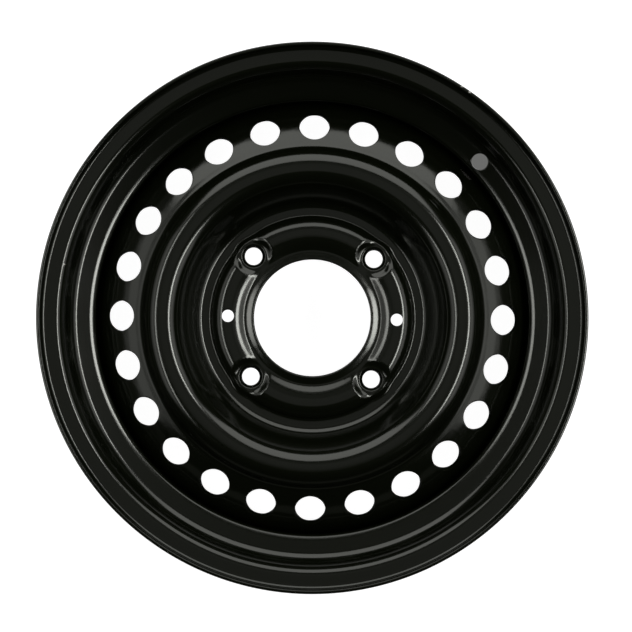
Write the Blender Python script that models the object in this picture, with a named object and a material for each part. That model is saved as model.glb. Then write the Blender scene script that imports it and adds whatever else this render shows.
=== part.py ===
"""Pressed steel road wheel: a roll-formed rim and the dished disc that is welded into its well.

Metres, +Z up. The axle line is Z. The wheel lies on the rolled lip of its inboard flange at z = 0, outboard
side up. The two small holes of the disc lie on the X axis, and the bolt holes halfway between X and Y.
"""

import math

import bmesh
import bpy
from mathutils import Matrix, Vector

# Rim, measured on its tyre side
BEAD_DIAMETER = 0.3802
RIM_WIDTH = 0.1397
RIM_SHEET = 0.0028
FLANGE_HEIGHT = 0.0173
LIP_REACH = 0.0096
LIP_LEAN = math.radians(80)
LIP_BEND = 0.0055
BEAD_TAPER = math.radians(5)
HEEL_BEND = 0.0042
OUTBOARD_SEAT = 0.027
INBOARD_SEAT = 0.024
SEAT_BEND = 0.012
WELL_DEPTH = 0.0223
WELL_WIDTH = 0.0515
WELL_WALL_LEAN = math.radians(12)
WELL_BEND = 0.0024
SLOPE_BEND = 0.014
LIP_EDGE_ROUND = 0.0008

# Valve hole in the outboard wall of the well
VALVE_HOLE_DIAMETER = 0.0124
VALVE_HOLE_ANGLE = math.radians(44.2)

# Disc, measured on its outboard side: diameters, then heights, widths from one corner to the next, and bends
DISC_SHEET = 0.004
CENTRE_BORE_DIAMETER = 0.089
BOLT_CIRCLE_DIAMETER = 0.13
HUB_FACE_INSET = 0.022
BORE_LIP_RISE = 0.0016
VALLEY_DROP = 0.0038
PAD_RISE = 0.006
CROWN_RISE = 0.0313
STEP_DROP = 0.0106
BAND_DROP = 0.0143
SHOULDER_DROP = 0.031
DISC_FLANGE_DROP = 0.063
BORE_LIP_WIDTH = 0.0067
VALLEY_WALL_WIDTH = 0.0074
PAD_INNER_WIDTH = 0.0064
PAD_OUTER_WIDTH = 0.0057
PAD_WALL_WIDTH = 0.0071
CHANNEL_WIDTH = 0.0089
DISH_WALL_WIDTH = 0.0173
CROWN_WIDTH = 0.0208
STEP_WIDTH = 0.0042
BAND_WIDTH = 0.014
SHOULDER_WIDTH = 0.0214
VALLEY_BEND = 0.01
PAD_INNER_BEND = 0.008
PAD_OUTER_BEND = 0.006
NAVE_FOOT_BEND = 0.004
DISH_FOOT_BEND = 0.006
CROWN_BEND = 0.0125
STEP_BEND = 0.004
BAND_BEND = 0.055
SHOULDER_BEND = 0.021

# Bolt bosses, and the small holes in the middle of two of the pads
BOLT_COUNT = 4
BOLT_HOLE_DIAMETER = 0.0134
NUT_SEAT_DIAMETER = 0.0176
NUT_SEAT_HALF_ANGLE = math.radians(30)
BOSS_RADIUS = 0.0149
BOSS_RISE = 0.003
BOSS_EDGE = 0.005
SCALLOP_DEPTH = 0.0032
SCALLOP_HALF_ANGLE = math.radians(11)
SMALL_HOLE_DIAMETER = 0.0093

# Round vent holes, a little outside the band's outer corner
VENT_COUNT = 24
VENT_DIAMETER = 0.0233
VENT_OUTSET = 0.0018
VENT_TURN = math.radians(0.7)

# Weld beads between the disc's flange and the well
WELD_COUNT = 8
WELD_LENGTH = 0.048
WELD_LEG = 0.0036
WELD_ROOT = 0.001

# The disc is pressed home in the well with no play, and this gap stands for the joint between the two solids
JOINT_GAP = 0.0003

# Facets
RIM_FACETS = 56
DISC_FACETS = 64
FACET_CROWDING = 0.4
BEND_STEP = math.radians(33)
LEAST_STRAIGHT = 0.0018
STRAIGHT_TOLERANCE = 1e-6
WELL_WALL_STRAIGHT = 3
HOLE_FACETS = 12
WELD_FACETS = 3
CUT_MARGIN = 0.0115
SMOOTH_ANGLE = math.radians(40)

BLACK_ENAMEL = (0.014, 0.0145, 0.0125, 1.0)
ENAMEL_ROUGHNESS = 0.34


def clear_scene():
    for old in list(bpy.data.objects):
        bpy.data.objects.remove(old, do_unlink=True)


def enamel(name):
    material = bpy.data.materials.new(name)
    material.use_nodes = True
    shader = material.node_tree.nodes["Principled BSDF"]
    shader.inputs["Base Color"].default_value = BLACK_ENAMEL
    shader.inputs["Roughness"].default_value = ENAMEL_ROUGHNESS
    shader.inputs["Metallic"].default_value = 0.0
    material.diffuse_color = BLACK_ENAMEL
    return material


def add_object(name, shape, material=None):
    mesh = bpy.data.meshes.new(name)
    shape.to_mesh(mesh)
    shape.free()
    made = bpy.data.objects.new(name, mesh)
    bpy.context.collection.objects.link(made)
    if material:
        mesh.materials.append(material)
    return made


def add_cutter(name, shape):
    bmesh.ops.recalc_face_normals(shape, faces=shape.faces)
    cutter = add_object(name, shape)
    cutter.hide_render = True
    cutter.display_type = "WIRE"
    return cutter


def add_boolean(target, operation, operand):
    change = target.modifiers.new(operand.name, "BOOLEAN")
    change.operation = operation
    change.solver = "EXACT"
    change.object = operand


def turn_at(before, corner, after):
    incoming = (corner - before).normalized()
    outgoing = (after - corner).normalized()
    return math.atan2(incoming.cross(outgoing), incoming.dot(outgoing))


def bend_lengths(corners, turns, bends):
    """How far each bend reaches from its corner, limited so that a straight is left between two bends."""
    lengths = [bend * math.tan(abs(turn) / 2) for bend, turn in zip(bends, turns)]
    reaches = [0.0] + lengths + [0.0]
    shares = []
    for near, far, near_reach, far_reach in zip(corners, corners[1:], reaches, reaches[1:]):
        shares.append(min(1.0, ((far - near).length - LEAST_STRAIGHT) / (near_reach + far_reach)))
    return [length * min(pair) for length, pair in zip(lengths, zip(shares, shares[1:]))]


def bent_line(corners, bends):
    """Follow a line through its corners, with each inner corner rounded to its bend radius.

    Returns (point, direction) pairs. Points are (radius, height) in the section through the axle line.
    """
    corners = [Vector(corner) for corner in corners]
    triples = list(zip(corners, corners[1:], corners[2:]))
    turns = [turn_at(*triple) for triple in triples]
    line = [(corners[0], (corners[1] - corners[0]).normalized())]
    for (before, corner, after), turn, reach in zip(triples, turns, bend_lengths(corners, turns, bends)):
        incoming = (corner - before).normalized()
        start = corner - incoming * reach
        bend = reach / math.tan(abs(turn) / 2)
        centre = start + Vector((-incoming.y, incoming.x)) * math.copysign(bend, turn)
        steps = max(1, round(abs(turn) / BEND_STEP))
        for step in range(steps + 1):
            turned = Matrix.Rotation(turn * step / steps, 2)
            line.append((centre + turned @ (start - centre), turned @ incoming))
    line.append((corners[-1], (corners[-1] - corners[-2]).normalized()))
    return line


def right_of(direction):
    return Vector((direction.y, -direction.x))


def rim_line():
    """The tyre side of the rim's section about its middle plane, from the outboard lip to the inboard one."""
    bead_radius = BEAD_DIAMETER / 2
    lip_radius = bead_radius + FLANGE_HEIGHT
    well_radius = bead_radius - WELL_DEPTH
    flange = RIM_WIDTH / 2
    lip_end = flange + LIP_REACH - RIM_SHEET * math.cos(LIP_LEAN)
    lip_foot = lip_radius - (lip_end - flange) / math.tan(LIP_LEAN)
    outboard_seat_radius = bead_radius - OUTBOARD_SEAT * math.tan(BEAD_TAPER)
    inboard_seat_radius = bead_radius - INBOARD_SEAT * math.tan(BEAD_TAPER)
    wall_top = flange - OUTBOARD_SEAT
    wall_foot = wall_top - (outboard_seat_radius - well_radius) * math.tan(WELL_WALL_LEAN)
    corners = [
        (lip_radius, lip_end),
        (lip_foot, flange),
        (bead_radius, flange),
        (outboard_seat_radius, wall_top),
        (well_radius, wall_foot),
        (well_radius, wall_foot - WELL_WIDTH),
        (inboard_seat_radius, INBOARD_SEAT - flange),
        (bead_radius, -flange),
        (lip_foot, -flange),
        (lip_radius, -lip_end),
    ]
    bends = [LIP_BEND, HEEL_BEND, SEAT_BEND, WELL_BEND, SLOPE_BEND, SLOPE_BEND, HEEL_BEND, LIP_BEND]
    return bent_line(corners, bends)


def rim_section():
    """Closed outline of the rim's section about its middle plane."""
    line = rim_line()
    tyre_side = [point for point, direction in line]
    axle_side = [point + right_of(direction) * RIM_SHEET for point, direction in line]
    return eased(tyre_side + axle_side[::-1], [0, len(line) - 1, len(line), 2 * len(line) - 1])


def well_wall_middle():
    """Middle of the straight stretch of the well's outboard wall, and the wall's direction."""
    straights = []
    for (near, near_direction), (far, far_direction) in zip(rim_line(), rim_line()[1:]):
        if (far_direction - near_direction).length < STRAIGHT_TOLERANCE:
            straights.append(((near + far) / 2, near_direction))
    return straights[WELL_WALL_STRAIGHT]


def eased(outline, sharp):
    """Cut each named corner of an outline back by the round of the lip's edge."""
    result = []
    for place, corner in enumerate(outline):
        if place not in sharp:
            result.append(corner)
            continue
        for neighbour in (outline[place - 1], outline[(place + 1) % len(outline)]):
            result.append(corner + (neighbour - corner).normalized() * LIP_EDGE_ROUND)
    return result


def rim_half_height():
    return max(point.y for point in rim_section())


def spin_outline(outline, facets, closed):
    """Turn an outline once round the axle line."""
    shape = bmesh.new()
    points = [shape.verts.new((point.x, 0.0, point.y)) for point in outline]
    pairs = list(zip(points, points[1:]))
    if closed:
        pairs.append((points[-1], points[0]))
    edges = [shape.edges.new(pair) for pair in pairs]
    bmesh.ops.spin(shape, geom=points + edges, cent=(0, 0, 0), axis=(0, 0, 1), angle=2 * math.pi,
                   steps=facets, use_merge=True)
    bmesh.ops.recalc_face_normals(shape, faces=shape.faces)
    return shape


def add_drill(shape, rings, place, facets=HOLE_FACETS):
    """Add a turned tool along local Z, closed at both ends: its rings are (radius, height), from the tip.

    Half a facet of turn keeps the tool's edges off the radial edges of the sheet that it cuts.
    """
    turned = place @ Matrix.Rotation(math.pi / facets, 4, "Z")
    loops = []
    for radius, height in rings:
        ring = turned @ Matrix.Translation((0, 0, height))
        loops.append(bmesh.ops.create_circle(shape, segments=facets, radius=radius, matrix=ring)["verts"])
    for low, high in zip(loops, loops[1:]):
        for place_in_ring in range(facets):
            before = place_in_ring - 1
            shape.faces.new((low[before], low[place_in_ring], high[place_in_ring], high[before]))
    shape.faces.new(loops[0])
    shape.faces.new(loops[-1])


def add_straight_drill(shape, diameter, place):
    add_drill(shape, [(diameter / 2, -CUT_MARGIN), (diameter / 2, CUT_MARGIN)], place)


def on_circle(radius, angle, height):
    return Matrix.Rotation(angle, 4, "Z") @ Matrix.Translation((radius, 0, height))


def smooth_step(value):
    value = min(1.0, max(0.0, value))
    return value * value * (3 - 2 * value)


def make_rim(material):
    half_height = rim_half_height()
    outline = [point + Vector((0, half_height)) for point in rim_section()]
    rim = add_object("rim", spin_outline(outline, RIM_FACETS, closed=True), material)

    middle, direction = well_wall_middle()
    lean = math.atan2(direction.y, -direction.x)
    place = on_circle(middle.x, VALVE_HOLE_ANGLE, middle.y + half_height) @ Matrix.Rotation(lean, 4, "Y")
    hole = bmesh.new()
    add_straight_drill(hole, VALVE_HOLE_DIAMETER, place)
    add_boolean(rim, "DIFFERENCE", add_cutter("valve_hole_cutter", hole))
    return rim


def well_inner_radius():
    return BEAD_DIAMETER / 2 - WELL_DEPTH - RIM_SHEET


def disc_flange_radius():
    """The disc's flange clears the flats of the rim's facets by the joint's gap."""
    return well_inner_radius() * math.cos(math.pi / RIM_FACETS) - JOINT_GAP


def channel_height():
    return rim_half_height() + HUB_FACE_INSET + DISC_SHEET


def crown_height():
    return channel_height() + CROWN_RISE


def fill_room(inner, outer, widths):
    """Radii of the corners from inner to outer, with the widths eased together to fill the room between."""
    radii = [inner]
    for width in widths:
        radii.append(radii[-1] + width * (outer - inner) / sum(widths))
    return radii


def nave_radii():
    """The bore, the valley, the inner corner of the pads and the bolt circle."""
    widths = [BORE_LIP_WIDTH, VALLEY_WALL_WIDTH, PAD_INNER_WIDTH]
    return fill_room(CENTRE_BORE_DIAMETER / 2, BOLT_CIRCLE_DIAMETER / 2, widths)


def dish_radii():
    """The bolt circle, then the corners from the outer edge of the pads to the flange."""
    widths = [PAD_OUTER_WIDTH, PAD_WALL_WIDTH, CHANNEL_WIDTH, DISH_WALL_WIDTH, CROWN_WIDTH, STEP_WIDTH,
              BAND_WIDTH, SHOULDER_WIDTH]
    return fill_room(BOLT_CIRCLE_DIAMETER / 2, disc_flange_radius(), widths)


def disc_line():
    """The outboard side of the disc's section, from the bore to the inboard edge of its flange."""
    channel = channel_height()
    crown = crown_height()
    pad = channel + PAD_RISE
    valley = pad - VALLEY_DROP
    bore_radius, valley_radius, pad_inner, bolt_radius = nave_radii()
    bolt_radius, pad_outer, nave_foot, dish_foot, crown_inner, crown_outer, step, band, flange = dish_radii()
    blank_radius = bore_radius - BORE_LIP_RISE / 2
    lip_slope = BORE_LIP_RISE / (valley_radius - bore_radius)
    corners = [
        (blank_radius, valley + (valley_radius - blank_radius) * lip_slope),
        (valley_radius, valley),
        (pad_inner, pad),
        (pad_outer, pad),
        (nave_foot, channel),
        (dish_foot, channel),
        (crown_inner, crown),
        (crown_outer, crown),
        (step, crown - STEP_DROP),
        (band, crown - BAND_DROP),
        (flange, crown - SHOULDER_DROP),
        (flange, crown - DISC_FLANGE_DROP),
    ]
    bends = [VALLEY_BEND, PAD_INNER_BEND, PAD_OUTER_BEND, NAVE_FOOT_BEND, DISH_FOOT_BEND, CROWN_BEND,
             CROWN_BEND, STEP_BEND, BAND_BEND, SHOULDER_BEND]
    return bent_line(corners, bends)


def from_nearest_bolt(angle):
    pitch = 2 * math.pi / BOLT_COUNT
    return angle % pitch - pitch / 2


def press_disc(shape):
    """Crowd the facets towards the bolts, then form the bosses and the scallops in the dish."""
    channel = channel_height()
    bolt_radius, pad_outer, nave_foot, dish_foot, crown_inner = dish_radii()[:5]
    for vertex in shape.verts:
        radius = vertex.co.xy.length
        angle = math.atan2(vertex.co.y, vertex.co.x)
        angle += FACET_CROWDING * math.sin(BOLT_COUNT * angle) / BOLT_COUNT
        off_bolt = from_nearest_bolt(angle)
        if nave_foot < radius < crown_inner:
            reach = 1 - smooth_step(abs(off_bolt) / SCALLOP_HALF_ANGLE)
            fade = 1 - smooth_step((vertex.co.z - channel) / CROWN_RISE)
            radius += SCALLOP_DEPTH * reach * fade
        across = math.hypot(radius * math.cos(off_bolt) - bolt_radius, radius * math.sin(off_bolt))
        raised = smooth_step((BOSS_RADIUS + BOSS_EDGE / 2 - across) / BOSS_EDGE)
        vertex.co.z += (channel + BOSS_RISE - vertex.co.z) * raised
        vertex.co.x = radius * math.cos(angle)
        vertex.co.y = radius * math.sin(angle)


def vent_place():
    """Where a vent's axis meets the disc's section, and how far the sheet leans outward there."""
    radius = dish_radii()[-2] + VENT_OUTSET
    points = [point for point, direction in disc_line()]
    inner = max((point for point in points if point.x <= radius), key=lambda point: point.x)
    outer = min((point for point in points if point.x > radius), key=lambda point: point.x)
    height = inner.y + (outer.y - inner.y) * (radius - inner.x) / (outer.x - inner.x)
    return radius, height, math.atan2(inner.y - outer.y, outer.x - inner.x)


def cut_vents(disc):
    radius, height, lean = vent_place()
    vents = bmesh.new()
    for number in range(VENT_COUNT):
        angle = VENT_TURN + 2 * math.pi * number / VENT_COUNT
        place = on_circle(radius, angle, height) @ Matrix.Rotation(lean, 4, "Y")
        add_straight_drill(vents, VENT_DIAMETER, place)
    add_boolean(disc, "DIFFERENCE", add_cutter("vent_cutter", vents))


def bolt_angles():
    return [2 * math.pi * (number + 0.5) / BOLT_COUNT for number in range(BOLT_COUNT)]


def cut_bolt_holes(disc):
    """Drill the bolt holes, with a tapered seat for the nut that opens at the boss's face."""
    hole_radius = BOLT_HOLE_DIAMETER / 2
    flare = math.tan(NUT_SEAT_HALF_ANGLE)
    rings = [
        (hole_radius, -CUT_MARGIN),
        (hole_radius, -(NUT_SEAT_DIAMETER / 2 - hole_radius) / flare),
        (NUT_SEAT_DIAMETER / 2 + CUT_MARGIN * flare, CUT_MARGIN),
    ]
    holes = bmesh.new()
    for angle in bolt_angles():
        add_drill(holes, rings, on_circle(BOLT_CIRCLE_DIAMETER / 2, angle, channel_height() + BOSS_RISE))
    add_boolean(disc, "DIFFERENCE", add_cutter("bolt_hole_cutter", holes))


def cut_small_holes(disc):
    pad_middle = (nave_radii()[-2] + dish_radii()[1]) / 2
    holes = bmesh.new()
    for angle in (0.0, math.pi):
        place = on_circle(pad_middle, angle, channel_height() + PAD_RISE)
        add_straight_drill(holes, SMALL_HOLE_DIAMETER, place)
    add_boolean(disc, "DIFFERENCE", add_cutter("small_hole_cutter", holes))


def cut_bore(disc):
    radius = CENTRE_BORE_DIAMETER / 2
    rings = [(radius, -DISC_SHEET - CUT_MARGIN), (radius, PAD_RISE + CUT_MARGIN)]
    bore = bmesh.new()
    add_drill(bore, rings, Matrix.Translation((0, 0, channel_height())), DISC_FACETS)
    add_boolean(disc, "DIFFERENCE", add_cutter("bore_cutter", bore))


def weld_beads(disc):
    """Lay a round-faced fillet under the inboard edge of the flange, in even runs round the well."""
    edge = crown_height() - DISC_FLANGE_DROP
    outer = disc_flange_radius()
    section = [Vector((outer, edge + WELD_ROOT)), Vector((outer - WELD_LEG, edge + WELD_ROOT))]
    for step in range(WELD_FACETS):
        turn = math.pi / 2 * (1 - step / (WELD_FACETS - 1))
        section.append(Vector((outer - WELD_LEG * math.sin(turn), edge - WELD_LEG * math.cos(turn))))
    beads = bmesh.new()
    sweep = WELD_LENGTH / outer
    for number in range(WELD_COUNT):
        start = 2 * math.pi * number / WELD_COUNT - sweep / 2
        turned = Matrix.Rotation(start, 3, "Z")
        points = [beads.verts.new(turned @ Vector((point.x, 0, point.y))) for point in section]
        face = beads.faces.new(points)
        bmesh.ops.spin(beads, geom=[face], cent=(0, 0, 0), axis=(0, 0, 1), angle=sweep,
                       steps=WELD_FACETS)
    add_boolean(disc, "UNION", add_cutter("weld_bead_tool", beads))


def make_disc(material):
    shape = spin_outline([point for point, direction in disc_line()], DISC_FACETS, closed=False)
    press_disc(shape)
    if sum(face.normal.z for face in shape.faces) < 0:
        bmesh.ops.reverse_faces(shape, faces=shape.faces)
    disc = add_object("wheel_disc", shape, material)
    sheet = disc.modifiers.new("sheet", "SOLIDIFY")
    sheet.thickness = DISC_SHEET
    sheet.offset = -1
    sheet.use_even_offset = True
    weld_beads(disc)
    cut_bore(disc)
    cut_vents(disc)
    cut_bolt_holes(disc)
    cut_small_holes(disc)
    return disc


clear_scene()
paint = enamel("black_enamel")
for part in (make_rim(paint), make_disc(paint)):
    part.data.shade_smooth()
    part.data.set_sharp_from_angle(angle=SMOOTH_ANGLE)
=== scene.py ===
"""A pressed steel road wheel in black enamel, lying on its inboard lip and seen from straight above.

Metres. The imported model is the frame: the axle line is Z, and the bolt holes lie halfway between X and Y.
"""

import math

import bpy
from mathutils import Matrix, Vector


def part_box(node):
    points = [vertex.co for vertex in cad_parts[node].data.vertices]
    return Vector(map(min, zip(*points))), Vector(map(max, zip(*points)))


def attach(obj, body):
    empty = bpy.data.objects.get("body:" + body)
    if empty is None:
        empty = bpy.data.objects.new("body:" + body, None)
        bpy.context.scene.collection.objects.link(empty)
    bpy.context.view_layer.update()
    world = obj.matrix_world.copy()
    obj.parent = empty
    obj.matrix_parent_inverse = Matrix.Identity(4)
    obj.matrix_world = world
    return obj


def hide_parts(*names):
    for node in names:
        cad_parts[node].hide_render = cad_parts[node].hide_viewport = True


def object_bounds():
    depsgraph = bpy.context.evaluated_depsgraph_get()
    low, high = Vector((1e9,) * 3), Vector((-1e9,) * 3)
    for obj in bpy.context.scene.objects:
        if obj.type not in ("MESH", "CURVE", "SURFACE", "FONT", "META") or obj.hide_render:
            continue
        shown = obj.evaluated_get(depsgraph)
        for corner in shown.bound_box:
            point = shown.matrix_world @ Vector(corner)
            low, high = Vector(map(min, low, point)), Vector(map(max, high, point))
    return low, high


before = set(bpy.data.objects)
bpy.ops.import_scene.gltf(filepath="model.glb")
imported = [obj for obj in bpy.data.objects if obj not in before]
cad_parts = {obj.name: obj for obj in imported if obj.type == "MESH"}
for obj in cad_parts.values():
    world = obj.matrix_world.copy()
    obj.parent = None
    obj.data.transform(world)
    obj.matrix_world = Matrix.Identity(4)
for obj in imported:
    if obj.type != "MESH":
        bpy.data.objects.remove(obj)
cad_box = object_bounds()


# The rim is one strip of 2.8 mm sheet steel, rolled into a ring and welded end to end, with a drop well
# between its two tyre seats and a lip rolled outward along each edge.
BEAD_DIAMETER = 0.3802
RIM_WIDTH = 0.1397
RIM_SHEET = 0.0028
FLANGE_HEIGHT = 0.0172
LIP_REACH = 0.0095
LIP_LEAN = math.radians(86)
LIP_BEND = 0.0063
BEAD_TAPER = math.radians(5)
HEEL_BEND = 0.0042
OUTBOARD_SEAT = 0.027
INBOARD_SEAT = 0.024
SEAT_BEND = 0.012
WELL_DEPTH = 0.0223
WELL_WIDTH = 0.0515
WELL_WALL_LEAN = math.radians(12)
WELL_EDGE = 0.0023
WELL_EDGE_LEAN = math.radians(18.5)
WELL_EDGE_BEND = 0.006
WELL_BEND = 0.0006
SLOPE_BEND = 0.014
RIM_STEPS = 240
ARC_STEP = math.radians(6)
SAME_PLACE = 0.000001
LIP_EDGE_ROUND = 0.0009
LIP_EDGE_STEPS = 4
SHARP_ANGLE = math.radians(60)


def use(piece):
    """Make one object the only one selected, and the active one, outside edit mode."""
    if bpy.context.mode != "OBJECT":
        bpy.ops.object.mode_set(mode="OBJECT")
    bpy.ops.object.select_all(action="DESELECT")
    piece.select_set(True)
    bpy.context.view_layer.objects.active = piece


def open_up(piece):
    """Open a piece in edit mode with all of it selected."""
    use(piece)
    bpy.ops.object.mode_set(mode="EDIT")
    bpy.ops.mesh.select_all(action="SELECT")


def pick(piece, wanted, kind="VERT"):
    """Open a piece in edit mode with just the vertices or faces selected whose middle passes a test."""
    use(piece)
    bpy.ops.object.mode_set(mode="EDIT")
    bpy.ops.mesh.select_mode(type=kind)
    bpy.ops.mesh.select_all(action="DESELECT")
    bpy.ops.object.mode_set(mode="OBJECT")
    if kind == "VERT":
        for vertex in piece.data.vertices:
            vertex.select = wanted(vertex.co)
    else:
        for face in piece.data.polygons:
            face.select = wanted(face.center)
    bpy.ops.object.mode_set(mode="EDIT")


def finish_with(piece, kind, **settings):
    """Add one modifier to a piece, with its settings, and apply it."""
    use(piece)
    bpy.ops.object.modifier_add(type=kind)
    modifier = piece.modifiers[-1]
    for setting, value in settings.items():
        setattr(modifier, setting, value)
    bpy.ops.object.modifier_apply(modifier=modifier.name)


def draw_section(name, corners, bends):
    """Draw a sheet's section in the XZ plane: straight runs from corner to corner, then the bends."""
    bpy.ops.object.select_all(action="DESELECT")
    bpy.ops.mesh.primitive_plane_add(size=RIM_SHEET)
    line = bpy.context.object
    line.name = name
    corners = [Vector((radius, 0, height)) for radius, height in corners]
    bpy.ops.object.mode_set(mode="EDIT")
    bpy.ops.mesh.merge(type="CENTER")
    bpy.ops.transform.translate(value=corners[0])
    for near, far in zip(corners, corners[1:]):
        bpy.ops.mesh.extrude_region_move(TRANSFORM_OT_translate={"value": far - near})
    for before, corner, after, bend in zip(corners, corners[1:], corners[2:], bends):
        turn = (corner - before).angle(after - corner)
        pick(line, lambda place: (place - corner).length < SAME_PLACE)
        bpy.ops.mesh.bevel(affect="VERTICES", offset=bend * math.tan(turn / 2),
                           segments=max(2, round(turn / ARC_STEP)))
    return line


def turn_round(piece, steps):
    """Turn a section once round the axle line, and close the seam."""
    open_up(piece)
    bpy.ops.mesh.spin(steps=steps, angle=2 * math.pi, axis=(0, 0, 1), center=(0, 0, 0))
    bpy.ops.mesh.select_all(action="SELECT")
    bpy.ops.mesh.remove_doubles(threshold=SAME_PLACE)
    bpy.ops.mesh.normals_make_consistent(inside=False)
    bpy.ops.object.mode_set(mode="OBJECT")


rim_low, rim_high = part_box("rim")
rim_middle = (rim_low[2] + rim_high[2]) / 2
bead_radius = BEAD_DIAMETER / 2
lip_radius = bead_radius + FLANGE_HEIGHT
well_radius = bead_radius - WELL_DEPTH
flange = RIM_WIDTH / 2
lip_end = flange + LIP_REACH - RIM_SHEET * math.cos(LIP_LEAN)
lip_foot = lip_radius - (lip_end - flange) / math.tan(LIP_LEAN)
outboard_seat_radius = bead_radius - OUTBOARD_SEAT * math.tan(BEAD_TAPER)
inboard_seat_radius = bead_radius - INBOARD_SEAT * math.tan(BEAD_TAPER)
wall_top = flange - OUTBOARD_SEAT
edge_top = wall_top - (outboard_seat_radius - well_radius - WELL_EDGE) * math.tan(WELL_WALL_LEAN)
wall_foot = edge_top - WELL_EDGE * math.tan(WELL_EDGE_LEAN)
rim_corners = [
    (lip_radius, rim_middle + lip_end),
    (lip_foot, rim_middle + flange),
    (bead_radius, rim_middle + flange),
    (outboard_seat_radius, rim_middle + wall_top),
    (well_radius + WELL_EDGE, rim_middle + edge_top),
    (well_radius, rim_middle + wall_foot),
    (well_radius, rim_middle + wall_foot - WELL_WIDTH),
    (inboard_seat_radius, rim_middle + INBOARD_SEAT - flange),
    (bead_radius, rim_middle - flange),
    (lip_foot, rim_middle - flange),
    (lip_radius, rim_middle - lip_end),
]
rim_bends = [LIP_BEND, HEEL_BEND, SEAT_BEND, WELL_EDGE_BEND, WELL_BEND, SLOPE_BEND, SLOPE_BEND, HEEL_BEND,
             LIP_BEND]
rim = draw_section("wheel_rim", rim_corners, rim_bends)
turn_round(rim, RIM_STEPS)
finish_with(rim, "SOLIDIFY", thickness=RIM_SHEET, offset=-1, use_even_offset=True)
finish_with(rim, "BEVEL", width=LIP_EDGE_ROUND, segments=LIP_EDGE_STEPS, limit_method="ANGLE",
            angle_limit=SHARP_ANGLE)


# The valve hole takes a snap-in rubber valve. It is punched square through the outboard wall of the well, and
# its edges are broken so that they don't cut the rubber.
VALVE_HOLE_DIAMETER = 0.0124
VALVE_HOLE_ANGLE = math.radians(44.35)
VALVE_HOLE_RADIUS = 0.1742
VALVE_EDGE_ROUND = 0.0007
DRILL_SIDES = 64
DRILL_REACH = 0.006
HOLE_EDGE_STEPS = 3


def make_drill(name, rings, sides=DRILL_SIDES):
    """Make a turned drill along Z from rings of (radius, height), lowest first."""
    bpy.ops.object.select_all(action="DESELECT")
    bpy.ops.mesh.primitive_circle_add(vertices=sides, radius=rings[0][0], fill_type="NGON",
                                      location=(0, 0, rings[0][1]))
    drill = bpy.context.object
    drill.name = name
    bpy.ops.object.transform_apply(location=True)
    open_up(drill)
    for (low_radius, low), (high_radius, high) in zip(rings, rings[1:]):
        bpy.ops.mesh.extrude_region_move(TRANSFORM_OT_translate={"value": (0, 0, high - low)})
        grow = high_radius / low_radius
        bpy.ops.transform.resize(value=(grow, grow, 1), center_override=(0, 0, high))
    bpy.ops.mesh.select_all(action="SELECT")
    bpy.ops.mesh.normals_make_consistent(inside=False)
    bpy.ops.object.mode_set(mode="OBJECT")
    return drill


def rounded_hole(diameter, face, back, edge):
    """Rings of a drill whose hole opens out at both faces of the sheet, as a rounded edge does."""
    radius = diameter / 2
    lower = [(radius + edge * 2, back - DRILL_REACH)]
    for step in range(HOLE_EDGE_STEPS + 1):
        turn = math.pi / 2 * step / HOLE_EDGE_STEPS
        lower.append((radius + edge * (1 - math.sin(turn)), back + edge * (1 - math.cos(turn))))
    upper = [(ring, face - (height - back)) for ring, height in reversed(lower)]
    return lower + upper


def drill_through(piece, drill, angle, radius, height, lean=0.0):
    """Set a copy of a drill at its place and angle on a piece, cut, and put the copy away."""
    use(drill)
    bpy.ops.object.duplicate()
    tool = bpy.context.object
    tool.rotation_euler = (0, lean, angle)
    tool.location = (radius * math.cos(angle), radius * math.sin(angle), height)
    finish_with(piece, "BOOLEAN", operation="DIFFERENCE", solver="EXACT", object=tool)
    bpy.data.objects.remove(tool)


valve_drill = make_drill("valve_drill", rounded_hole(VALVE_HOLE_DIAMETER, RIM_SHEET / 2, -RIM_SHEET / 2,
                                                     VALVE_EDGE_ROUND))
valve_height = rim_middle + wall_top - (outboard_seat_radius - VALVE_HOLE_RADIUS) * math.tan(WELL_WALL_LEAN)
drill_through(rim, valve_drill, VALVE_HOLE_ANGLE, VALVE_HOLE_RADIUS, valve_height + RIM_SHEET / 2,
              -WELL_WALL_LEAN)
bpy.data.objects.remove(valve_drill)


# The disc is pressed from 4 mm sheet: a nave with four pads round the centre bore, a dish wall up to the
# crown, a step down to the band with the vents, and a flange pushed home in the well of the rim.
DISC_SHEET = 0.004
CENTRE_BORE_DIAMETER = 0.089
BOLT_CIRCLE_DIAMETER = 0.13
HUB_FACE_INSET = 0.022
BORE_LIP_RISE = 0.0012
VALLEY_DROP = 0.0031
PAD_RISE = 0.006
CROWN_RISE = 0.0313
STEP_DROP = 0.01
BAND_DROP = 0.0147
SHOULDER_DROP = 0.031
DISC_FLANGE_DROP = 0.063
BORE_FLAT_RADIUS = 0.0461
VALLEY_RADIUS = 0.0515
PAD_INNER_RADIUS = 0.06
PAD_OUTER_RADIUS = 0.0732
NAVE_FOOT_RADIUS = 0.0778
DISH_FOOT_RADIUS = 0.0871
CROWN_INNER_RADIUS = 0.1045
CROWN_OUTER_RADIUS = 0.125
STEP_RADIUS = 0.129
BAND_RADIUS = 0.1442
BORE_FLAT_BEND = 0.003
VALLEY_BEND = 0.004
PAD_INNER_BEND = 0.022
PAD_OUTER_BEND = 0.0115
NAVE_FOOT_BEND = 0.0025
DISH_FOOT_BEND = 0.006
CROWN_BEND = 0.0125
STEP_BEND = 0.0065
BAND_BEND = 0.055
SHOULDER_BEND = 0.021
JOINT_OVERLAP = 0.0002
BORE_WASTE = 0.003
DISC_STEPS = 240
NAVE_RUN = 0.0012
DISH_RUN = 0.004


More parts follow.
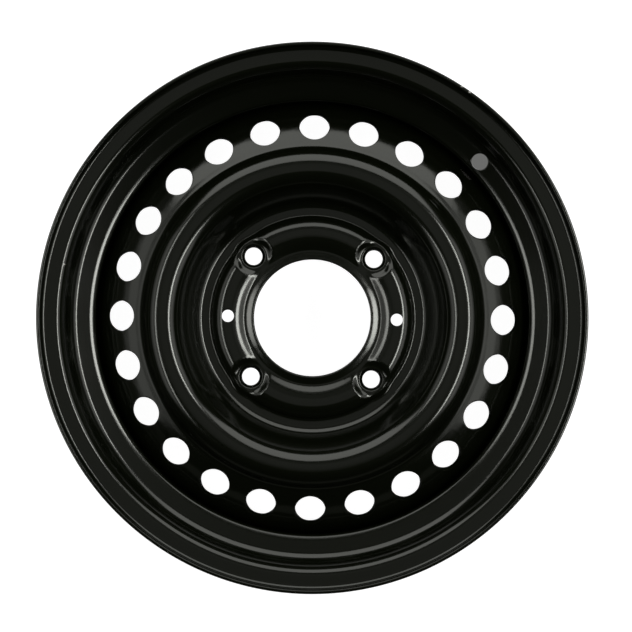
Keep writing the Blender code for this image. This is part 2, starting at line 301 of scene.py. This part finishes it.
def cut_runs(line, low, high, longest):
    """Cut the straight runs of a section between two radii, so that no edge is longer than the limit."""
    runs = []
    for edge in line.data.edges:
        near, far = (line.data.vertices[index].co.copy() for index in edge.vertices)
        if low < (near.x + far.x) / 2 < high and (far - near).length > longest:
            runs.append((near, far))
    for near, far in runs:
        pick(line, lambda place: min((place - near).length, (place - far).length) < SAME_PLACE)
        bpy.ops.mesh.subdivide(number_cuts=math.ceil((far - near).length / longest) - 1)
    bpy.ops.object.mode_set(mode="OBJECT")


def face_up(sheet):
    """Turn the faces of an open sheet so that they look outboard."""
    open_up(sheet)
    bpy.ops.mesh.normals_make_consistent(inside=False)
    bpy.ops.object.mode_set(mode="OBJECT")
    if sum(face.normal.z for face in sheet.data.polygons) < 0:
        bpy.ops.object.mode_set(mode="EDIT")
        bpy.ops.mesh.flip_normals()
        bpy.ops.object.mode_set(mode="OBJECT")


channel = rim_middle + HUB_FACE_INSET + DISC_SHEET
crown = channel + CROWN_RISE
pad = channel + PAD_RISE
valley = pad - VALLEY_DROP
bore_lip = valley + BORE_LIP_RISE
bore_radius = CENTRE_BORE_DIAMETER / 2
bolt_radius = BOLT_CIRCLE_DIAMETER / 2
disc_flange_radius = well_radius - RIM_SHEET + JOINT_OVERLAP
disc_corners = [
    (bore_radius - BORE_WASTE, bore_lip),
    (BORE_FLAT_RADIUS, bore_lip),
    (VALLEY_RADIUS, valley),
    (PAD_INNER_RADIUS, pad),
    (PAD_OUTER_RADIUS, pad),
    (NAVE_FOOT_RADIUS, channel),
    (DISH_FOOT_RADIUS, channel),
    (CROWN_INNER_RADIUS, crown),
    (CROWN_OUTER_RADIUS, crown),
    (STEP_RADIUS, crown - STEP_DROP),
    (BAND_RADIUS, crown - BAND_DROP),
    (disc_flange_radius, crown - SHOULDER_DROP),
    (disc_flange_radius, crown - DISC_FLANGE_DROP),
]
disc_bends = [BORE_FLAT_BEND, VALLEY_BEND, PAD_INNER_BEND, PAD_OUTER_BEND, NAVE_FOOT_BEND, DISH_FOOT_BEND,
              CROWN_BEND, CROWN_BEND, STEP_BEND, BAND_BEND, SHOULDER_BEND]
disc = draw_section("pressed_disc", disc_corners, disc_bends)
cut_runs(disc, 0, DISH_FOOT_RADIUS, NAVE_RUN)
cut_runs(disc, DISH_FOOT_RADIUS, well_radius, DISH_RUN)


# The 24 vents are round holes punched square to the band, in a ring that is turned 0.7 degrees from the
# bolts. One sector of the band gets its hole, laid on the pressed form, and is repeated round the wheel.
VENT_COUNT = 24
VENT_DIAMETER = 0.0233
VENT_RADIUS = 0.1463
VENT_LEAN = math.radians(22)
VENT_TURN = math.radians(0.7)
VENT_ROOM = 0.013
VENT_RINGS = 6
SEAM_REACH = 0.00001

for cut_radius in (VENT_RADIUS - VENT_ROOM, VENT_RADIUS + VENT_ROOM):
    open_up(disc)
    bpy.ops.mesh.bisect(plane_co=(cut_radius, 0, 0), plane_no=(1, 0, 0))
turn_round(disc, DISC_STEPS)
face_up(disc)
bpy.ops.object.duplicate()
uncut_disc = bpy.context.object


def lay_on(patch, form):
    """Lay a patch on the pressed form, straight along Z."""
    finish_with(patch, "SHRINKWRAP", target=form, wrap_method="PROJECT", use_project_z=True,
                use_negative_direction=True)


def open_round(sheet, form, inside, centre, radius, rings, squash=1.0):
    """Swap a patch of a sheet for faces that run round a circle, laid on the pressed form."""
    pick(sheet, inside, "FACE")
    bpy.ops.mesh.separate(type="SELECTED")
    patch = [piece for piece in bpy.context.selected_objects if piece is not sheet][0]
    open_up(patch)
    bpy.ops.mesh.dissolve_faces()
    bpy.ops.mesh.delete(type="ONLY_FACE")
    bpy.ops.object.mode_set(mode="OBJECT")
    sides = len(patch.data.vertices)
    bpy.ops.object.mode_set(mode="EDIT")
    angle = math.atan2(centre.y, centre.x)
    bpy.ops.mesh.primitive_circle_add(vertices=sides, radius=radius, location=centre, rotation=(0, 0, angle))
    bpy.ops.transform.resize(value=(squash, 1, 1), center_override=centre, orient_type="GLOBAL")
    bpy.ops.mesh.select_all(action="SELECT")
    bpy.ops.mesh.bridge_edge_loops(number_cuts=rings, interpolation="LINEAR")
    lay_on(patch, form)
    return patch


def join_to(sheet, patches):
    """Join patches to the sheet that they were cut from."""
    use(sheet)
    for patch in patches:
        patch.select_set(True)
    bpy.ops.object.join()
    open_up(sheet)
    bpy.ops.mesh.remove_doubles(threshold=SEAM_REACH)
    face_up(sheet)


def on_band(place):
    """Tell whether a place is on the ring of the band that the vents take."""
    return abs(place.xy.length - VENT_RADIUS) < VENT_ROOM


def in_first_sector(place):
    """Tell whether a place on the band is in the sector round the X axis."""
    return on_band(place) and abs(math.atan2(place.y, place.x)) < math.pi / VENT_COUNT


sector = open_round(disc, uncut_disc, in_first_sector, Vector((VENT_RADIUS, 0, crown)), VENT_DIAMETER / 2,
                    VENT_RINGS, math.cos(VENT_LEAN))
pick(disc, on_band, "FACE")
bpy.ops.mesh.delete(type="FACE")
open_up(sector)
bpy.ops.mesh.spin(steps=VENT_COUNT - 1, angle=2 * math.pi * (1 - 1 / VENT_COUNT), axis=(0, 0, 1),
                  center=(0, 0, 0), dupli=True)
join_to(disc, [sector])
for sheet in (disc, uncut_disc):
    use(sheet)
    sheet.rotation_euler.z = VENT_TURN
    bpy.ops.object.transform_apply(rotation=True)


# Each bolt hole stands on a round flat, pressed into the gap between two pads with a soft wall round it, so
# that a wheel nut and its socket have room.
BOLT_COUNT = 4
BOSS_RISE = 0.003
BOSS_ROOM = 0.0192
BOSS_OUTER_RADIUS = 0.0158
BOSS_FLAT_RADIUS = 0.0098
BOSS_RINGS = 4
BOSS_WALL_RINGS = 6
RING_REACH = 0.00008


def press_boss(angle):
    """Swap a square patch of the nave for one boss: a flat for the nut, and the soft wall up to the pads."""
    outward = Vector((math.cos(angle), math.sin(angle), 0))
    bolt = outward * bolt_radius + Vector((0, 0, channel + BOSS_RISE))

    def round_bolt(place):
        """Tell whether a place is in the square patch round this bolt."""
        away = place.xy.angle_signed(outward.xy)
        return max(abs(place.xy.length - bolt_radius), abs(away) * bolt_radius) < BOSS_ROOM

    boss = open_round(disc, uncut_disc, round_bolt, bolt, BOSS_OUTER_RADIUS, BOSS_RINGS)
    wall_radii = [BOSS_OUTER_RADIUS + (BOSS_FLAT_RADIUS - BOSS_OUTER_RADIUS) * ring / BOSS_WALL_RINGS
                  for ring in range(BOSS_WALL_RINGS + 1)]
    pick(boss, lambda place: (place.xy - bolt.xy).length < BOSS_OUTER_RADIUS + RING_REACH)
    for outer, inner in zip(wall_radii, wall_radii[1:]):
        bpy.ops.mesh.extrude_edges_move()
        bpy.ops.transform.resize(value=(inner / outer, inner / outer, 1), center_override=bolt)
    bpy.ops.mesh.edge_face_add()
    lay_on(boss, uncut_disc)
    for ring in range(1, BOSS_WALL_RINGS + 1):
        height = (1 + math.cos(math.pi * ring / BOSS_WALL_RINGS)) / 2
        pick(boss, lambda place: abs((place.xy - bolt.xy).length - wall_radii[ring]) < RING_REACH)
        bpy.ops.transform.resize(value=(1, 1, height), center_override=bolt)
    return boss


bolt_angles = [2 * math.pi * (number + 0.5) / BOLT_COUNT for number in range(BOLT_COUNT)]
join_to(disc, [press_boss(angle) for angle in bolt_angles])
bpy.data.objects.remove(uncut_disc)


# The sheet gets its thickness and the soft edges that a punch leaves. Then the centre bore is cut, the bolt
# holes get their coned nut seats, and two small plain holes go through the pads on the X axis.
CUT_EDGE_ROUND = 0.0006
CUT_EDGE_STEPS = 3
BORE_EDGE_ROUND = 0.0009
BOLT_HOLE_DIAMETER = 0.0134
NUT_SEAT_DIAMETER = 0.0176
NUT_SEAT_HALF_ANGLE = math.radians(30)
SEAT_EDGE_STEPS = 4
SMALL_HOLE_DIAMETER = 0.0093
SMALL_HOLE_CIRCLE_RADIUS = 0.0645

finish_with(disc, "SOLIDIFY", thickness=DISC_SHEET, offset=-1, use_even_offset=True)
finish_with(disc, "BEVEL", width=CUT_EDGE_ROUND, segments=CUT_EDGE_STEPS, limit_method="ANGLE",
            angle_limit=SHARP_ANGLE)
bore_drill = make_drill("bore_drill", rounded_hole(CENTRE_BORE_DIAMETER, 0, -DISC_SHEET, BORE_EDGE_ROUND),
                        DISC_STEPS)
drill_through(disc, bore_drill, VENT_TURN, 0, bore_lip)
hole_radius = BOLT_HOLE_DIAMETER / 2
seat_radius = NUT_SEAT_DIAMETER / 2
seat_foot = (hole_radius - seat_radius) / math.tan(NUT_SEAT_HALF_ANGLE)
seat_rings = [(hole_radius, -DISC_SHEET - DRILL_REACH), (hole_radius, seat_foot)]
for step in range(SEAT_EDGE_STEPS + 1):
    turn = NUT_SEAT_HALF_ANGLE + (math.pi / 2 - NUT_SEAT_HALF_ANGLE) * step / SEAT_EDGE_STEPS
    drop = CUT_EDGE_ROUND * (1 - math.sin(turn))
    reach = CUT_EDGE_ROUND * (math.cos(NUT_SEAT_HALF_ANGLE) - math.cos(turn))
    seat_rings.append((seat_radius - drop * math.tan(NUT_SEAT_HALF_ANGLE) + reach, -drop))
seat_rings.append((seat_rings[-1][0], DRILL_REACH))
seat_drill = make_drill("nut_seat_drill", seat_rings)
for angle in bolt_angles:
    drill_through(disc, seat_drill, angle, bolt_radius, channel + BOSS_RISE)
small_drill = make_drill("small_drill", rounded_hole(SMALL_HOLE_DIAMETER, 0, -DISC_SHEET, CUT_EDGE_ROUND))
for angle in (0, math.pi):
    drill_through(disc, small_drill, angle, SMALL_HOLE_CIRCLE_RADIUS, pad)
for drill in (bore_drill, seat_drill, small_drill):
    bpy.data.objects.remove(drill)


# Eight fillet welds hold the flange of the disc in the well of the rim. They run under the flange's inboard
# edge, where the torch can reach.
WELD_COUNT = 8
WELD_LENGTH = 0.048
WELD_RADIUS = 0.00288
WELD_END_ROUND = 0.00216
WELD_END_STEPS = 4
WELD_SIDES = 20
WELD_STEPS = 40
SMOOTH_ANGLE = math.radians(40)

bpy.ops.object.select_all(action="DESELECT")
bpy.ops.mesh.primitive_circle_add(vertices=WELD_SIDES, radius=WELD_RADIUS, fill_type="NGON",
                                  rotation=(math.pi / 2, 0, 0),
                                  location=(well_radius - RIM_SHEET, 0, crown - DISC_FLANGE_DROP))
welds = bpy.context.object
welds.name = "flange_welds"
bpy.ops.object.transform_apply(location=True, rotation=True)
open_up(welds)
bpy.ops.mesh.spin(steps=WELD_STEPS, angle=WELD_LENGTH / disc_flange_radius, axis=(0, 0, 1), center=(0, 0, 0))
bpy.ops.mesh.select_all(action="SELECT")
bpy.ops.mesh.normals_make_consistent(inside=False)
finish_with(welds, "BEVEL", width=WELD_END_ROUND, segments=WELD_END_STEPS, limit_method="ANGLE",
            angle_limit=SHARP_ANGLE)
open_up(welds)
bpy.ops.mesh.spin(steps=WELD_COUNT - 1, angle=2 * math.pi * (1 - 1 / WELD_COUNT), axis=(0, 0, 1),
                  center=(0, 0, 0), dupli=True)
for piece in (rim, disc, welds):
    use(piece)
    bpy.ops.object.shade_smooth_by_angle(angle=SMOOTH_ANGLE)


# Black enamel: a dip coat, baked semi-gloss over the steel of all three pieces. The eye reads it as near
# black with soft, slightly rippled reflections, and bare grey steel where the wheel has been knocked.
ENAMEL_COLOUR = "060803"
ENAMEL_GLOSS_TINT = "fdfff7"
ENAMEL_IOR = 1.5
ENAMEL_ROUGHNESS = (0.13, 0.16)
PATCH_WAVE = 0.04
PEEL_WAVE = 0.003
PEEL_HEIGHT = 0.000006
STEEL_COLOUR = "9a9893"
STEEL_ROUGHNESS = 0.45
CHIP_SIZE = 0.0022
CHIP_RAGGED = 0.003
CHIP_WAVE = 0.0012
# Each mark has its place along X and Y, and how many times longer it is round the wheel than across.
MARKS = [(0.1084, 0.1759, 1), (0.1143, 0.1719, 1), (-0.1874, 0.0357, 1), (0.1152, 0.1112, 6)]


def colour(code):
    """Turn an sRGB hex code into the linear colour that a shader takes."""
    parts = [int(code[place:place + 2], 16) / 255 for place in (0, 2, 4)]
    return [part / 12.92 if part <= 0.04045 else ((part + 0.055) / 1.055) ** 2.4 for part in parts] + [1]


def add_node(tree, kind, inputs=None, **settings):
    """Add a shader node, set its own settings, and fill or link its inputs."""
    node = tree.nodes.new(kind)
    for setting, value in settings.items():
        setattr(node, setting, value)
    for name, value in (inputs or {}).items():
        if isinstance(value, bpy.types.NodeSocket):
            tree.links.new(value, node.inputs[name])
        else:
            node.inputs[name].default_value = value
    return node


enamel = bpy.data.materials.new("black_enamel")
enamel.use_nodes = True
tree = enamel.node_tree
shader = tree.nodes["Principled BSDF"]
shader.inputs["IOR"].default_value = ENAMEL_IOR
shader.inputs["Specular Tint"].default_value = colour(ENAMEL_GLOSS_TINT)
place = add_node(tree, "ShaderNodeTexCoord").outputs["Object"]
peel = add_node(tree, "ShaderNodeTexNoise", {"Vector": place, "Scale": 1 / PEEL_WAVE, "Detail": 1.0})
ripple = add_node(tree, "ShaderNodeBump", {"Height": peel.outputs[0], "Distance": PEEL_HEIGHT})
patches = add_node(tree, "ShaderNodeTexNoise", {"Vector": place, "Scale": 1 / PATCH_WAVE, "Detail": 3.0})
gloss = add_node(tree, "ShaderNodeMapRange", {"Value": patches.outputs[0], "To Min": ENAMEL_ROUGHNESS[0],
                                              "To Max": ENAMEL_ROUGHNESS[1]})
flat_place = add_node(tree, "ShaderNodeVectorMath", {0: place, 1: (1, 1, 0)}, operation="MULTIPLY").outputs[0]
nearest = None
for across, up, stretch in MARKS:
    turn = math.atan2(up, across)
    mark = add_node(tree, "ShaderNodeMapping", {"Vector": flat_place, "Location": (across, up, 0),
                                                "Rotation": (0, 0, turn), "Scale": (1, stretch, 1)},
                    vector_type="TEXTURE")
    away = add_node(tree, "ShaderNodeVectorMath", {0: mark.outputs[0]}, operation="LENGTH").outputs["Value"]
    if nearest is not None:
        away = add_node(tree, "ShaderNodeMath", {0: nearest, 1: away}, operation="MINIMUM").outputs[0]
    nearest = away
ragged = add_node(tree, "ShaderNodeTexNoise", {"Vector": place, "Scale": 1 / CHIP_WAVE, "Detail": 2.0})
chip = add_node(tree, "ShaderNodeMath", {0: ragged.outputs[0], 1: CHIP_RAGGED, 2: nearest},
                operation="MULTIPLY_ADD")
bare = add_node(tree, "ShaderNodeMath", {0: chip.outputs[0], 1: CHIP_SIZE}, operation="LESS_THAN").outputs[0]
surface = add_node(tree, "ShaderNodeMix", {0: bare, 6: colour(ENAMEL_COLOUR), 7: colour(STEEL_COLOUR)},
                   data_type="RGBA")
rough = add_node(tree, "ShaderNodeMix", {0: bare, 2: gloss.outputs[0], 3: STEEL_ROUGHNESS})
tree.links.new(surface.outputs[2], shader.inputs["Base Color"])
tree.links.new(rough.outputs[0], shader.inputs["Roughness"])
tree.links.new(bare, shader.inputs["Metallic"])
tree.links.new(ripple.outputs[0], shader.inputs["Normal"])
for piece in (rim, disc, welds):
    piece.data.materials.clear()
    piece.data.materials.append(enamel)
    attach(piece, "root")
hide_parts("rim")
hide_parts("wheel_disc")


# The floor is matt white paper, which the eye reads as an even white round the wheel and through its holes.
# It glows to the camera and in reflections, but not in a reflection of the floor under the wheel, where real
# paper lies in the wheel's shadow.
FLOOR_SIZE = 12
PAPER_COLOUR = "a4a4a4"
PAPER_GLOW_COLOUR = "ffffff"
PAPER_GLOW = 0.97
PAPER_ROUGHNESS = 0.9

bpy.ops.object.select_all(action="DESELECT")
bpy.ops.mesh.primitive_plane_add(size=FLOOR_SIZE)
floor = bpy.context.object
floor.name = "white_floor"
paper = bpy.data.materials.new("white_paper")
paper.use_nodes = True
tree = paper.node_tree
shader = tree.nodes["Principled BSDF"]
shader.inputs["Base Color"].default_value = colour(PAPER_COLOUR)
shader.inputs["Roughness"].default_value = PAPER_ROUGHNESS
shader.inputs["Specular IOR Level"].default_value = 0
shader.inputs["Emission Color"].default_value = colour(PAPER_GLOW_COLOUR)
rays = add_node(tree, "ShaderNodeLightPath")
place = add_node(tree, "ShaderNodeTexCoord").outputs["Object"]
away = add_node(tree, "ShaderNodeVectorMath", {0: place}, operation="LENGTH").outputs["Value"]
open_floor = add_node(tree, "ShaderNodeMath", {0: away, 1: rim_high[0]}, operation="GREATER_THAN")
mirrored = add_node(tree, "ShaderNodeMath", {0: rays.outputs["Is Glossy Ray"], 1: open_floor.outputs[0]},
                    operation="MULTIPLY")
seen = add_node(tree, "ShaderNodeMath", {0: rays.outputs["Is Camera Ray"], 1: mirrored.outputs[0]},
                operation="MAXIMUM")
seen = add_node(tree, "ShaderNodeMath", {0: seen.outputs[0], 1: rays.outputs["Is Transmission Ray"]},
                operation="MAXIMUM")
glow = add_node(tree, "ShaderNodeMath", {0: seen.outputs[0], 1: PAPER_GLOW}, operation="MULTIPLY")
tree.links.new(glow.outputs[0], shader.inputs["Emission Strength"])
floor.data.materials.append(paper)


# The light: on each side a strip and a soft panel with a brighter core, the right one the stronger, then a
# broad light above the top of the picture, a scrim overhead, a weak fill from the front and a dim room.
STRIP_SIZE = (1.25, 0.2)
STRIP_REACH = 0.76
STRIP_HEIGHT = 1.5
PANEL_SIZE = (2.0, 1.1)
PANEL_REACH = 1.5
PANEL_HEIGHT = 1.5
CORE_SIZE = (1.7, 0.42)
CORE_REACH = 1.4
CORE_HEIGHT = 1.4
ROOM_COLOUR = "ffffff"
ROOM_GLOW = 0.01


def add_light(name, place, size, power, shape="RECTANGLE"):
    """Add an area light that faces the wheel."""
    bpy.ops.object.select_all(action="DESELECT")
    bpy.ops.object.light_add(type="AREA", location=place)
    light = bpy.context.object
    light.name = name
    light.data.shape = shape
    light.data.size, light.data.size_y = size
    light.data.energy = power
    light.rotation_euler = (-Vector(place)).to_track_quat("-Z", "Y").to_euler()


for name, side, strip, panel, core in (("left", -1, 4.2, 3.4, 1.2), ("right", 1, 9.9, 4.8, 1.7)):
    add_light(name + "_strip", (side * STRIP_REACH, 0, STRIP_HEIGHT), STRIP_SIZE, strip, "ELLIPSE")
    add_light(name + "_panel", (side * PANEL_REACH, 0, PANEL_HEIGHT), PANEL_SIZE, panel)
    add_light(name + "_panel_core", (side * CORE_REACH, 0, CORE_HEIGHT), CORE_SIZE, core)
add_light("top_light", (0, 1.5, 1.22), (2.8, 1.45), 27)
add_light("overhead_scrim", (0, 0.5, 3.25), (2.6, 1.7), 1.9)
add_light("front_fill", (0, 0.05, 3.0), (0.7, 0.8), 0.17)
room = bpy.data.worlds.new("studio")
bpy.context.scene.world = room
room.use_nodes = True
background = room.node_tree.nodes["Background"]
background.inputs["Color"].default_value = colour(ROOM_COLOUR)
background.inputs["Strength"].default_value = ROOM_GLOW


# The camera looks straight down from 2.65 m above the lip. The wheel stands a little up and left of the
# middle of the picture, and is turned slightly clockwise in it.
CAMERA_HEIGHT = 2.65
CAMERA_LENS = 201.4
CAMERA_TURN = math.radians(1.35)
CAMERA_PLACE = (0.0028, 0.0014)

camera_data = bpy.data.cameras.new("camera")
camera = bpy.data.objects.new("camera", camera_data)
bpy.context.collection.objects.link(camera)
camera_data.lens = CAMERA_LENS
aim = Vector(CAMERA_PLACE)
aim.rotate(Matrix.Rotation(CAMERA_TURN, 2))
camera.location = (aim.x, aim.y, cad_box[1][2] + CAMERA_HEIGHT)
camera.rotation_euler = (0, 0, CAMERA_TURN)
scene = bpy.context.scene
scene.camera = camera
scene.view_settings.view_transform = "Standard"
